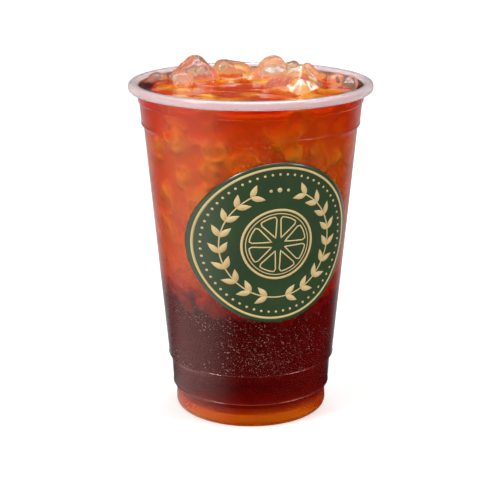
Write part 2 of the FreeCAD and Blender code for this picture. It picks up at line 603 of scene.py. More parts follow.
@dataclass
class Cup:
    """The clear cup: one skin with a raised base, ledged bands and a rolled rim."""
    height: float
    rim_radius: float
    wall: float = 0.5 * MM
    rim_width: float = 3.7 * MM
    rim_drop: float = 3.5 * MM
    rim_roll: float = 1.4 * MM
    rim_tip_gap: float = 0.6 * MM
    neck_depth: float = 7.3 * MM
    neck_taper: float = 0.55 * MM
    neck_ledge: float = 0.55 * MM
    neck_ledge_drop: float = 0.6 * MM
    band_depth: float = 8.4 * MM
    band_taper: float = 0.8 * MM
    stack_ledge: float = 0.9 * MM
    stack_ledge_drop: float = 1.9 * MM
    foot_radius: float = 31.5 * MM
    foot_corner: float = 3.8 * MM
    foot_top: float = 8.5 * MM
    foot_waist: float = 0.3 * MM
    foot_ledge: float = 1.34 * MM
    foot_ledge_rise: float = 1.9 * MM
    heel_top: float = 21.0 * MM
    heel_taper: float = 0.72 * MM
    heel_ledge: float = 1.04 * MM
    heel_ledge_rise: float = 2.2 * MM
    foot_ring: float = 1.7 * MM
    punt_rise: float = 3.2 * MM
    punt_run: float = 2.8 * MM
    ledge_round: float = 0.6 * MM
    neck_round: float = 0.3 * MM
    lip: float = 0.28 * MM
    lip_rise: float = 0.3 * MM
    lip_back: float = 0.2
    punt_round: float = 1.2 * MM
    ring_round: float = 0.5 * MM
    rim_blunt: float = 0.2 * MM
    rim_skirt: float = 0.3 * MM
    base_reach: float = 1.5 * MM
    faces_down: float = -0.3
    longest_run: float = 2.4 * MM
    columns: int = 192

    @classmethod
    def from_frame(cls) -> "Cup":
        """The cup with its height and its rim as the frame has them."""
        _, high = node_box("cup")
        return cls(height=high.z, rim_radius=high.x)

    @property
    def mouth_radius(self) -> float:
        """Inside radius at the rim."""
        return self.rim_radius - self.rim_width

    @property
    def floor(self) -> float:
        """Height of the inside of the base."""
        return self.punt_rise + self.wall

    def straight_wall(self) -> tuple[Point, Point]:
        """Both ends of the outside of the long straight wall."""
        heel = self.foot_radius - self.foot_waist + self.foot_ledge + self.heel_taper
        band = (self.mouth_radius + self.wall - self.neck_taper - self.neck_ledge
                - self.band_taper - self.stack_ledge)
        top = (self.height - self.neck_depth - self.neck_ledge_drop - self.band_depth
               - self.stack_ledge_drop)
        return (heel + self.heel_ledge, self.heel_top + self.heel_ledge_rise), (band, top)

    def radius_at(self, height: float) -> float:
        """Outside radius of the long straight wall at a height."""
        (low_radius, low), (high_radius, high) = self.straight_wall()
        return low_radius + (high_radius - low_radius) * (height - low) / (high - low)

    def lipped(self, radius: float, height: float) -> list[Corner]:
        """The upper edge of a ledge: a fine raised lip, then back to the wall."""
        return [(radius + self.lip, height, self.neck_round),
                (radius + self.lip * self.lip_back, height + self.lip_rise, self.neck_round)]

    def wall_corners(self, inset: float) -> list[Corner]:
        """The wall from the foot's waist to the neck's top.

        Args:
            inset: how far it is moved in, level.
        Returns:
            The corners of its outline.
        """
        waist = self.foot_radius - self.foot_waist
        heel_low = waist + self.foot_ledge
        neck_top = self.mouth_radius + self.wall
        neck_low = neck_top - self.neck_taper
        band_top = neck_low - self.neck_ledge
        neck_line = self.height - self.neck_depth
        band_line = neck_line - self.neck_ledge_drop
        heel, stack = self.straight_wall()
        corners = [
            (waist, self.foot_top, self.ledge_round),
            *self.lipped(heel_low, self.foot_top + self.foot_ledge_rise),
            (heel_low + self.heel_taper, self.heel_top, self.ledge_round),
            *self.lipped(heel[0], heel[1]),
            (stack[0], stack[1], self.ledge_round),
            *self.lipped(stack[0] + self.stack_ledge, stack[1] + self.stack_ledge_drop),
            (band_top, band_line, self.neck_round),
            (neck_low, neck_line, self.neck_round),
        ]
        return [(radius - inset, height, rounding) for radius, height, rounding in corners]

    def base_corners(self, inset: float) -> list[Corner]:
        """The base from the axis to the foot's corner.

        Args:
            inset: how far it is moved into the cup.
        Returns:
            The corners of its outline.
        """
        ring_out = self.foot_radius - self.foot_corner
        ring_in = ring_out - self.foot_ring
        middle = ring_in - self.punt_run
        slant = math.hypot(self.punt_run, self.punt_rise)
        shift = inset * (slant - self.punt_run) / self.punt_rise
        return [
            (0.0, self.punt_rise + inset, 0.0),
            (middle + shift, self.punt_rise + inset, self.punt_round),
            (ring_in + shift, inset, self.ring_round),
            (self.foot_radius - inset, inset, self.foot_corner - inset),
        ]

    def rim_corners(self) -> list[Corner]:
        """The rolled rim, from the neck's outside round the roll to its inside."""
        under = self.height - self.wall
        low = self.height - self.rim_drop
        inside = self.mouth_radius
        skin = self.rim_roll - self.wall
        tip = inside + self.wall + self.rim_tip_gap
        blunt = self.rim_blunt
        return [
            (inside + self.wall, under, skin),
            (self.rim_radius - self.wall, under, skin),
            (self.rim_radius - self.wall, low + self.wall, skin),
            (tip, low + self.wall, blunt),
            (tip, low, blunt),
            (self.rim_radius, low, self.rim_roll),
            (self.rim_radius, self.height, self.rim_roll),
            (inside, self.height, self.rim_roll),
        ]

    def outline(self) -> list[Point]:
        """The whole half-section, from the axis underneath to the axis inside."""
        outer = self.base_corners(0.0) + self.wall_corners(0.0)
        inner = self.base_corners(self.wall) + self.wall_corners(self.wall)
        corners = outer + self.rim_corners() + list(reversed(inner))
        return divided(filleted(corners), self.longest_run)

    def build(self, dress: Dress) -> Object:
        """Makes the cup, with a milkier finish on the rim and the base.

        Args:
            dress: the materials by finish.
        Returns:
            The cup.
        """
        mesh = turned("clear_cup", self.outline(), self.columns)
        for finish in (Finish.WALL, Finish.RIM, Finish.BASE):
            mesh.materials.append(dress[finish])
        rim_line = self.height - self.rim_drop - self.rim_skirt
        base_radius = self.foot_radius - self.foot_corner + self.base_reach
        for face in mesh.polygons:
            middle = face.center
            if middle.z > rim_line and middle.xy.length > self.mouth_radius - self.wall:
                face.material_index = 1
            elif (middle.z < self.floor and middle.xy.length < base_radius
                    and face.normal.z < self.faces_down):
                face.material_index = 2
        cup = new_object("clear_cup", mesh)
        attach(cup, BODY)
        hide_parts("cup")
        return cup


# --- ice that stands out


@dataclass
class StandingIce:
    """The lumps that stand out of the drink, melted round and dimpled."""
    voxel: float = 0.55 * MM
    melt_rounds: int = 36
    swollen: float = 0.5 * MM
    dimple: float = 1.3 * MM
    dimple_scale: float = 120.0
    pit: float = 0.6 * MM
    pit_scale: float = 280.0
    weld: float = 1e-7

    @staticmethod
    def nodes() -> list[str]:
        """The frame's lumps, in the order of their names."""
        return sorted(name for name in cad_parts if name.startswith("ice_"))

    def melted(self, node: str) -> Mesh:
        """One lump's mesh, remeshed fine, rounded and dimpled.

        Args:
            node: the lump's name in the frame.
        Returns:
            The new closed mesh.
        """
        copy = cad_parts[node].data.copy()
        work = bmesh.new()
        work.from_mesh(copy)
        bmesh.ops.remove_doubles(work, verts=work.verts, dist=self.weld)
        work.to_mesh(copy)
        work.free()
        copy.materials.clear()
        mesh = regrown(copy, node + "_melted", self.voxel, self.melt_rounds)
        bpy.data.meshes.remove(copy)
        work = bmesh.new()
        work.from_mesh(mesh)
        for vertex in work.verts:
            wave = noise.noise(vertex.co * self.dimple_scale)
            pit = noise.noise(vertex.co * self.pit_scale)
            push = self.swollen + self.dimple * wave + self.pit * pit
            vertex.co += vertex.normal * push
        work.to_mesh(mesh)
        work.free()
        return mesh

    def build(self, dress: Dress) -> list[Object]:
        """Makes every lump, each in its node's place.

        Args:
            dress: the materials by finish.
        Returns:
            The lumps.
        """
        lumps = []
        for node in self.nodes():
            mesh = self.melted(node)
            mesh.materials.append(dress[Finish.ICE])
            lump = new_object(node.replace("ice_", "melted_"), mesh)
            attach(lump, BODY)
            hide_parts(node)
            lumps.append(lump)
        return lumps


# --- the drink


@dataclass
class Drink:
    """The tea: it reaches halfway into the plastic and ripples round the ice."""
    cup: Cup
    level: float
    lumps: list[Object]
    swell: float = 0.45 * MM
    swell_scale: float = 75.0
    ripple: float = 0.13 * MM
    ripple_scale: float = 190.0
    wall_rise: float = 0.7 * MM
    ice_rise: float = 1.1 * MM
    creep: float = 1.3 * MM
    overlap: float = 0.3 * MM
    shore: float = 3.2 * MM
    deepest_dip: float = 2.6 * MM
    calm_edge: float = 6 * MM
    swell_squash: float = 1.3
    swell_slice: float = 0.013
    ripple_slice: float = 0.4
    top_rings: int = 96

    def tree(self) -> BVHTree:
        """All the standing ice as one thing to measure to."""
        work = bmesh.new()
        for lump in self.lumps:
            work.from_mesh(lump.data)
        tree = BVHTree.FromBMesh(work)
        work.free()
        return tree

    def surface(self, brim: float) -> Lift:
        """How the surface stands off its level, as a function of x and y.

        Args:
            brim: radius of the surface.
        Returns:
            The function.
        """
        ice = self.tree()

        def lift(x: float, y: float) -> float:
            """The height to add at one place."""
            edge = brim - math.hypot(x, y)
            calm = smoothstep(0.0, self.calm_edge, edge)
            swell = noise.noise(Vector((x, y * self.swell_squash, self.swell_slice))
                                * self.swell_scale)
            ripple = noise.noise(Vector((x, y, self.ripple_slice)) * self.ripple_scale)
            here = Vector((x, y, self.level))
            _, _, _, gap = ice.find_nearest(here)
            _, normal, _, depth = ice.ray_cast(here, Vector((0.0, 0.0, -1.0)))
            if normal and normal.z < 0:
                dip = min(max(depth - self.overlap, 0.0), self.deepest_dip)
                return -dip * smoothstep(0.0, self.shore, gap)
            creep = self.ice_rise * math.exp(-gap / self.creep)
            climb = self.wall_rise * math.exp(-edge / self.creep)
            return calm * (swell * self.swell + ripple * self.ripple) + creep * calm + climb

        return lift

    def build(self, dress: Dress) -> Object:
        """Makes the drink.

        Args:
            dress: the materials by finish.
        Returns:
            The drink.
        """
        into = self.cup.wall / 2
        corners = self.cup.base_corners(into) + self.cup.wall_corners(into)
        low = corners[-1]
        top = self.cup.mouth_radius + into
        share = (self.level - low[1]) / (self.cup.height - self.cup.rim_roll - low[1])
        brim = low[0] + share * (top - low[0])
        side = divided(filleted(corners + [(brim, self.level, 0.0)]), self.cup.longest_run)
        surface = [(brim * (1 - ring / self.top_rings), self.level)
                   for ring in range(1, self.top_rings + 1)]
        mesh = turned("tea", side + surface, self.cup.columns, self.surface(brim), len(side) - 1)
        mesh.materials.append(dress[Finish.TEA])
        drink = new_object("tea", mesh)
        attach(drink, BODY)
        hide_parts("drink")
        return drink


# --- what repeats


class Scatter(Group):
    """A Geometry Nodes tree that puts copies of one shape on points."""

    def __init__(self, name: str, inputs: dict) -> None:
        """Starts the tree.

        Args:
            name: the tree's name.
            inputs: (socket type, default) of each further input by name.
        """
        always = {"Geometry": ("Geometry", None), "Shape": ("Object", None),
                  "Material": ("Material", None), "Seed": ("Int", 1)}
        super().__init__(name, "GeometryNodeTree", always | inputs, {"Geometry": "Geometry"})

    def named(self, attribute: str) -> NodeSocket:
        """A number that the carrier has at every point."""
        return self.node("GeometryNodeInputNamedAttribute", {"Name": attribute},
                         data_type="FLOAT").outputs[0]

    def copies(self, points: NodeSocket, turn: NodeSocket, size: NodeSocket) -> NodeSocket:
        """The shape on every point, each copy turned and sized, made real.

        Args:
            points: the points.
            turn: each copy's rotation.
            size: each copy's scale.
        Returns:
            The geometry.
        """
        shape = self.node("GeometryNodeObjectInfo", {"Object": self.source["Shape"]})
        placed = self.node("GeometryNodeInstanceOnPoints", {
            "Points": points, "Instance": shape.outputs["Geometry"], "Rotation": turn,
            "Scale": size})
        return self.node("GeometryNodeRealizeInstances",
                         {"Geometry": placed.outputs[0]}).outputs[0]

    def finish(self, geometry: NodeSocket) -> None:
        """Ends the tree: the copies shade smooth and get their material."""
        smooth = self.node("GeometryNodeSetShadeSmooth", {"Geometry": geometry})
        dressed = self.node("GeometryNodeSetMaterial", {
            "Geometry": smooth.outputs[0], "Material": self.source["Material"]})
        self.feed(self.result, {0: dressed.outputs[0]})

    def bake(self, name: str, carrier: Mesh, shape: Mesh, values: dict[str, object]) -> Mesh:
        """Runs the tree on a mesh and keeps what comes out as a plain mesh.

        Args:
            name: the new mesh's name.
            carrier: the mesh that the tree starts from.
            shape: the mesh that is copied.
            values: the other inputs' values by name.
        Returns:
            The plain mesh.
        """
        model = new_object(shape.name, shape)
        holder = new_object(name + "_holder", carrier)
        modifier = holder.modifiers.new("scatter", "NODES")
        modifier.node_group = self.tree
        for label, value in ({"Shape": model} | values).items():
            modifier[self.sockets[label]] = value
        mesh = evaluated_copy(holder, name)
        bpy.data.objects.remove(model)
        return mesh


@dataclass
class SunkIce:
    """The ice under the surface: melted cubes, packed from the neck down."""
    cup: Cup
    level: float
    seed: int = 7
    count: int = 340
    size: float = 7.0 * MM
    size_spread: float = 0.35
    closeness: float = 0.66
    tries: int = 260
    rise: float = 0.8
    outward: float = 0.28
    headroom: float = 0.7
    lowest: float = 47 * MM
    bite: float = 1.2 * MM
    softness: float = 0.7 * MM
    wall_gap: float = 2.7 * MM
    wall_melt: float = 1.3 * MM
    neck_push: float = 0.5 * MM
    neck_from: float = 30 * MM
    neck_to: float = 16 * MM
    core_gap: float = 3.4 * MM
    core_roof: float = 3.5 * MM
    fade_from: float = 69 * MM
    fade_run: float = 22 * MM
    fade_gap: float = 8.3 * MM
    melt_scale: float = 150.0
    melt_fine: float = 2.6
    melt_fine_share: float = 0.35
    wall_top: float = 16 * MM
    top_gap: float = 0.8 * MM
    roof_melt: float = 2.0 * MM
    roof_squash: float = 0.05
    core_rise: float = 7 * MM
    core_slope: float = 6 * MM
    core_foot: float = 5 * MM
    core_drop: float = 9 * MM
    core_columns: int = 48
    roundness: float = 0.6
    ball: float = 1.12
    slimmest: float = 0.78
    squash_seed: int = 31
    lumpiness: float = 1.4 * MM
    lump_scale: float = 110.0
    voxel: float = 1.0 * MM
    freeze_rounds: int = 4

    def places(self) -> list[tuple[Vector, float]]:
        """Where each lump lies, and its half-width, none too near another.

        Returns:
            (middle, half-width) of each lump.
        """
        draw = random.Random(self.seed)
        found: list[tuple[Vector, float]] = []
        for _ in range(self.count * self.tries):
            if len(found) == self.count:
                break
            half = self.size * (1 + self.size_spread * (2 * draw.random() - 1))
            height = self.lowest + (self.level - self.lowest) * draw.random() ** self.rise
            if height + half * self.headroom > self.level - self.top_gap:
                continue
            reach = self.cup.radius_at(height) - self.cup.wall + self.bite - half
            angle = math.tau * draw.random()
            radius = reach * draw.random() ** self.outward
            spot = Vector((*polar(radius, angle), height))
            if all((spot - other).length > self.closeness * (half + width)
                   for other, width in found):
                found.append((spot, half))
        return found

    def cube(self) -> Mesh:
        """One melted cube, 2 across, part of the way from a box to a ball."""
        work = bmesh.new()
        bmesh.ops.create_cube(work, size=2.0)
        bmesh.ops.subdivide_edges(work, edges=work.edges, cuts=9, use_grid_fill=True)
        for vertex in work.verts:
            ball = vertex.co.normalized() * self.ball
            vertex.co = vertex.co.lerp(ball, self.roundness)
        return finished_mesh("melted_cube", work)

    def keep_off_wall(self, mesh: Mesh) -> None:
        """Melts the cubes back where they lean on the wall or come near the surface.

        Args:
            mesh: the ice, whose vertices are moved.
        """
        highest = self.level - self.top_gap
        for vertex in mesh.vertices:
            spot = vertex.co
            melt = smoothstep(-0.5, 0.5, noise.noise(spot * self.melt_scale)
                              + self.melt_fine_share
                              * noise.noise(spot * self.melt_scale * self.melt_fine))
            fade = max(self.fade_from - spot.z, 0.0) / self.fade_run
            gap = self.cup.wall + self.wall_gap + self.wall_melt * melt + self.fade_gap * fade ** 2
            gap -= self.neck_push * smoothstep(self.level - self.neck_from,
                                               self.level - self.neck_to, spot.z)
            limit = self.cup.radius_at(min(spot.z, self.level - self.wall_top)) - gap
            reach = spot.xy.length
            if reach > limit - 3 * self.softness:
                held = limit - self.softness * math.log1p(math.exp((limit - reach) / self.softness))
                spot.x *= held / reach
                spot.y *= held / reach
            roof = highest - self.roof_melt * melt
            if spot.z > roof:
                spot.z = roof + (spot.z - roof) * self.roof_squash

    def core(self) -> Mesh:
        """The small ice that fills the room behind the outer cubes."""
        inset = self.cup.wall + self.core_gap
        low = self.lowest + self.core_rise
        shoulder = low + self.core_slope
        high = self.level - self.top_gap - self.core_roof
        return turned("ice_core", divided([
            (0.0, low), (self.cup.radius_at(low) - inset - self.core_foot, low),
            (self.cup.radius_at(shoulder) - inset, shoulder),
            (self.cup.radius_at(high - self.core_drop) - inset, high), (0.0, high)],
            self.core_slope), self.core_columns)

    def frozen_together(self, mesh: Mesh) -> Mesh:
        """Grows the cubes and the core into one mass with soft creases.

        Args:
            mesh: the cubes.
        Returns:
            The mass.
        """
        work = bmesh.new()
        work.from_mesh(mesh)
        work.from_mesh(self.core())
        work.to_mesh(mesh)
        work.free()
        return regrown(mesh, "sunk_ice", self.voxel, self.freeze_rounds)

    def tree(self) -> Scatter:
        """The tree that turns and places the cubes, and makes each one uneven."""
        scatter = Scatter("sunk_ice_scatter", {"Lumpiness": ("Float", 0.001),
                                               "Lump Scale": ("Float", 100.0)})
        source = scatter.source
        turn = scatter.node("FunctionNodeRandomValue", {1: (math.tau,) * 3,
                                                        "Seed": source["Seed"]},
                            data_type="FLOAT_VECTOR")
        squash = scatter.node("FunctionNodeRandomValue", {
            0: (self.slimmest,) * 3, 1: (1.0, 1.0, 1.0), "Seed": self.squash_seed},
            data_type="FLOAT_VECTOR")
        scale = scatter.node("ShaderNodeVectorMath", {0: squash.outputs[0],
                                                      "Scale": scatter.named("half")},
                             operation="SCALE")
        cubes = scatter.copies(source["Geometry"], turn.outputs[0], scale.outputs[0])
        wave = scatter.node("ShaderNodeTexNoise", {"Scale": source["Lump Scale"], "Detail": 1.0})
        deep = scatter.times(scatter.math("SUBTRACT", wave.outputs["Fac"], 0.55),
                             source["Lumpiness"])
        normal = scatter.node("GeometryNodeInputNormal")
        push = scatter.node("ShaderNodeVectorMath", {0: normal.outputs[0], "Scale": deep},
                            operation="SCALE")
        moved = scatter.node("GeometryNodeSetPosition", {"Geometry": cubes,
                                                         "Offset": push.outputs[0]})
        scatter.finish(moved.outputs[0])
        return scatter

    def build(self, dress: Dress) -> Object:
        """Makes the sunk ice as one piece.

        Args:
            dress: the materials by finish.
        Returns:
            The sunk ice.
        """
        places = self.places()
        carrier = bpy.data.meshes.new("sunk_ice_points")
        carrier.from_pydata([spot for spot, _ in places], [], [])
        halves = carrier.attributes.new("half", "FLOAT", "POINT")
        halves.data.foreach_set("value", [half for _, half in places])
        mesh = self.tree().bake("sunk_ice", carrier, self.cube(), {
            "Material": dress[Finish.SUNK_ICE], "Lumpiness": self.lumpiness * 4,
            "Lump Scale": self.lump_scale, "Seed": self.seed})
        mesh = self.frozen_together(mesh)
        self.keep_off_wall(mesh)
        ice = new_object("sunk_ice", mesh)
        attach(ice, BODY)
        return ice


@dataclass
class Condensation:
    """Fine beads of water on the outside of the cold cup."""
    cup: Cup
    seed: int = 11
    beads_each_square_metre: float = 1000000.0
    smallest: float = 0.07 * MM
    largest: float = 0.21 * MM
    flatness: float = 0.5
    patch_scale: float = 42.0
    patch_edge: float = 0.45
    wet_side: Point = (0.6, 0.8)
    dry_from: float = -0.3
    wet_to: float = 0.95
    least_wet: float = 0.2
    row: float = 2 * MM

    def wetness(self, spot: Vector) -> float:
        """How thick the beads lie at a place.

        Args:
            spot: the place on the wall.
        Returns:
            The thickness, from 0 to 1.
        """
        patch = smoothstep(-self.patch_edge, self.patch_edge,
                           noise.noise(spot * self.patch_scale))
        across, deep = self.wet_side
        side = -(across * spot.x + deep * spot.y) / max(spot.xy.length, TINY)
        return patch * (self.least_wet + (1 - self.least_wet)
                        * smoothstep(self.dry_from, self.wet_to, side))

    def carrier(self) -> Mesh:
        """The stretch of wall that the beads sit on."""
        work = bmesh.new()
        rings = [[work.verts.new((*polar(radius, angle), height))
                  for angle in turn_steps(self.cup.columns)]
                 for radius, height in divided(self.cup.straight_wall(), self.row)]
        bridged(work, rings, self.cup.columns)
        mesh = bpy.data.meshes.new("wet_wall")
        work.to_mesh(mesh)
        work.free()
        wet = mesh.attributes.new("wet", "FLOAT", "POINT")
        wet.data.foreach_set("value", [self.wetness(vertex.co) for vertex in mesh.vertices])
        return mesh

    def bead(self) -> Mesh:
        """One bead: a small ball, 2 across, pressed flat."""
        work = bmesh.new()
        bmesh.ops.create_icosphere(work, subdivisions=1, radius=1.0)
        bmesh.ops.scale(work, vec=(1.0, 1.0, self.flatness), verts=work.verts)
        return finished_mesh("bead", work)

    def tree(self) -> Scatter:
        """The tree that strews beads over the wall, thicker where it is wet."""
        scatter = Scatter("condensation_scatter", {
            "Density": ("Float", 1000.0), "Smallest": ("Float", 0.0001),
            "Largest": ("Float", 0.0004)})
        source = scatter.source
        points = scatter.node("GeometryNodeDistributePointsOnFaces", {
            "Mesh": source["Geometry"], "Seed": source["Seed"],
            "Density": scatter.times(scatter.named("wet"), source["Density"])}).outputs
        width = scatter.node("FunctionNodeRandomValue", {
            2: source["Smallest"], 3: source["Largest"]}, data_type="FLOAT")
        scatter.finish(scatter.copies(points["Points"], points["Rotation"], width.outputs[1]))
        return scatter

    def build(self, dress: Dress) -> Object:
        """Makes all the beads as one piece.

        Args:
            dress: the materials by finish.
        Returns:
            The beads.
        """
        mesh = self.tree().bake("condensation", self.carrier(), self.bead(), {
            "Material": dress[Finish.DROPLET], "Density": self.beads_each_square_metre,
            "Smallest": self.smallest, "Largest": self.largest, "Seed": self.seed})
        beads = new_object("condensation", mesh)
        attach(beads, BODY)
        return beads


# --- the badge


@dataclass
class Badge:
    """A round green print with a pale gold wreath and a slice of citrus."""
    cup: Cup
    radius: float = 32.8 * MM
    bearing: float = math.radians(15.5)
    middle: float = 0.0
    sunk: float = 0.1 * MM
    green_lift: float = 0.12 * MM
    gold_lift: float = 0.17 * MM
    rings: int = 26
    columns: int = 144
    thinnest: float = 0.02 * MM
    rope: float = 30.8 * MM
    beads_at: float = 28.2 * MM
    beads: int = 60
    bead_size: float = 0.5 * MM
    wreath: float = 22.0 * MM
    wreath_from: float = math.radians(-96)
    wreath_to: float = math.radians(62)
    stem: float = 0.5 * MM
    stem_steps: int = 48
    leaves: int = 9
    leaf_lean: float = math.radians(38)
    leaf_start: float = 0.9
    leaf_belly: float = 0.8
    leaf_length: float = 5.6 * MM
    leaf_width: float = 2.3 * MM
    peel: Sequence[Point] = ((14.0 * MM, 0.9 * MM), (12.5 * MM, 0.36 * MM))
    peel_steps: int = 96
    slices: int = 8
    slice_run: float = 1.0 * MM
    slice_gap: float = math.radians(4.5)
    slice_tip: float = 2.8 * MM
    slice_rim: float = 11.3 * MM
    slice_shoulder: float = 10.2 * MM
    slice_curve: Sequence[float] = (-0.84, -0.55, -0.2, 0.2, 0.55, 0.84)
    berries: Sequence[Point] = ((0, 0.95 * MM), (1, 0.6 * MM), (-1, 0.6 * MM))
    berry_turn: float = math.radians(9)

    @classmethod
    def from_frame(cls, cup: Cup) -> "Badge":
        """The badge at the height that the frame gives it."""
        low, high = node_box("badge")
        return cls(cup=cup, radius=(high.z - low.z) / 2, middle=(high.z + low.z) / 2)

    def wrapped(self, across: float, up: float, lift: float) -> Vector:
        """A point of the flat print, laid straight back on the wall.

        Args:
            across, up: the place on the print, from its middle.
            lift: how far it stands off the wall.
        Returns:
            The place on the cup.
        """
        right = Vector((math.cos(self.bearing), math.sin(self.bearing), 0.0))
        ahead = Vector((math.sin(self.bearing), -math.cos(self.bearing), 0.0))
        reach = self.cup.radius_at(self.middle + up) + lift
        depth = math.sqrt(reach ** 2 - across ** 2)
        return right * across + ahead * depth + Vector((0.0, 0.0, self.middle + up))

    def disc(self) -> Mesh:
        """The green ground: a closed round skin on the wall."""
        work = bmesh.new()
        sides = []
        for lift in (self.green_lift, -self.sunk):
            rings = [[work.verts.new(self.wrapped(0.0, 0.0, lift))]]
            rings += [[work.verts.new(self.wrapped(*polar(self.radius * ring / self.rings, angle),
                                                   lift))
                       for angle in turn_steps(self.columns)]
                      for ring in range(1, self.rings + 1)]
            sides.append(rings)
        for rings in sides + [[sides[0][-1], sides[1][-1]]]:
            bridged(work, rings, self.columns)
        return finished_mesh("badge_ground", work)

    def stroke(self, work: BMesh, line: Sequence[Point],
               widths: Sequence[float], closed: bool = False) -> None:
        """Lays one stroke of gold along a line, as a thin closed band.

        Args:
            work: the bmesh that gets the band.
            line: the stroke's middle line, on the flat print.
            widths: the stroke's width at each point.
            closed: whether the line runs back into its start.
        """
        count = len(line)
        sections = []
        for index, (across, up) in enumerate(line):
            before = line[index - 1] if closed or index else line[0]
            after = line[(index + 1) % count] if closed or index < count - 1 else line[-1]
            along = Vector((after[0] - before[0], after[1] - before[1])).normalized()
            side = Vector((-along.y, along.x)) * widths[index] / 2
            sections.append([
                work.verts.new(self.wrapped(across + side.x * way, up + side.y * way, lift))
                for way, lift in ((1, 0.0), (-1, 0.0), (-1, self.gold_lift), (1, self.gold_lift))])
        pairs = list(zip(sections, sections[1:]))
        if closed:
            pairs.append((sections[-1], sections[0]))
        else:
            work.faces.new(sections[0])
            work.faces.new(list(reversed(sections[-1])))
        for start, end in pairs:
            for corner in range(4):
                after = (corner + 1) % 4
                work.faces.new((start[corner], start[after], end[after], end[corner]))

    def ring(self, work: BMesh, radius: float, width: float, steps: int = 180) -> None:
        """A gold circle about the middle."""
        line = [polar(radius, angle) for angle in turn_steps(steps)]
        self.stroke(work, line, [width] * steps, closed=True)

    def bead(self, work: BMesh, middle: Point, size: float, steps: int = 6) -> None:
        """A round gold dot.

        Args:
            work: the bmesh that gets it.
            middle: its place on the print.
            size: its radius.
            steps: how many pieces its length has.
        """
        line, widths = [], []
        for step in range(steps + 1):
            along, half = polar(size, math.pi * step / steps)
            line.append((middle[0] - along, middle[1]))
            widths.append(max(2 * half, self.thinnest))
        self.stroke(work, line, widths)

    def leaf(self, work: BMesh, root: Point, heading: float, steps: int = 9) -> None:
        """A filled gold leaf with a pointed tip.

        Args:
            work: the bmesh that gets it.
            root: where it starts.
            heading: the way it points, in radians from the print's right.
            steps: how many pieces its length has.
        """
        line, widths = [], []
        for step in range(steps + 1):
            share = step / steps
            across, up = polar(self.leaf_length * share, heading)
            line.append((root[0] + across, root[1] + up))
            widths.append(max(self.leaf_width * math.sin(math.pi * share ** self.leaf_belly),
                              self.thinnest))
        self.stroke(work, line, widths)

    def branch(self, work: BMesh, side: int) -> None:
        """One half of the wreath: a curved stem with leaves on both sides.

        Args:
            work: the bmesh that gets it.
            side: 1 for the right half, -1 for the left.
        """
        def stem_at(share: float) -> tuple[float, Point]:
            """The angle and the place at a share of the stem."""
            angle = self.wreath_from + (self.wreath_to - self.wreath_from) * share
            across, up = polar(self.wreath, angle)
            return angle, (side * across, up)

        line = [stem_at(step / self.stem_steps)[1] for step in range(self.stem_steps + 1)]
        self.stroke(work, line, [self.stem] * len(line))
        for index in range(self.leaves):
            angle, root = stem_at((index + self.leaf_start) / self.leaves)
            for way in (1, -1):
                turn = angle + math.pi / 2 - way * self.leaf_lean
                self.leaf(work, root, turn if side > 0 else math.pi - turn)

    def wheel(self, work: BMesh) -> None:
        """The slice of citrus in the middle."""
        for radius, width in self.peel:
            self.ring(work, radius, width, self.peel_steps)
        half = math.pi / self.slices - self.slice_gap
        for index in range(self.slices):
            middle = math.tau * (index + 0.5) / self.slices
            line = [polar(self.slice_tip, middle), polar(self.slice_shoulder, middle - half),
                    *[polar(self.slice_rim, middle + half * share) for share in self.slice_curve],
                    polar(self.slice_shoulder, middle + half)]
            line = divided(line + line[:1], self.slice_run)[:-1]
            self.stroke(work, line, [self.stem] * len(line), closed=True)

    def build(self, dress: Dress) -> list[Object]:
        """Makes the green ground and the gold design.

        Args:
            dress: the materials by finish.
        Returns:
            Both pieces.
        """
        ground = self.disc()
        ground.materials.append(dress[Finish.GREEN])
        green = new_object("badge_ground", ground)
        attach(green, BODY)
        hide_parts("badge")

        work = bmesh.new()
        self.ring(work, self.rope, self.peel[0][1])
        for angle in turn_steps(self.beads):
            self.bead(work, polar(self.beads_at, angle), self.bead_size)
        for side in (1, -1):
            self.branch(work, side)
        self.wheel(work)
        for step, size in self.berries:
            angle = math.pi / 2 + step * self.berry_turn
            self.bead(work, polar(self.wreath, angle), size)
        design = finished_mesh("badge_design", work)
        design.materials.append(dress[Finish.GOLD])
        gold = new_object("badge_design", design)
        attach(gold, BODY)
        return [green, gold]


# --- stage, light and camera


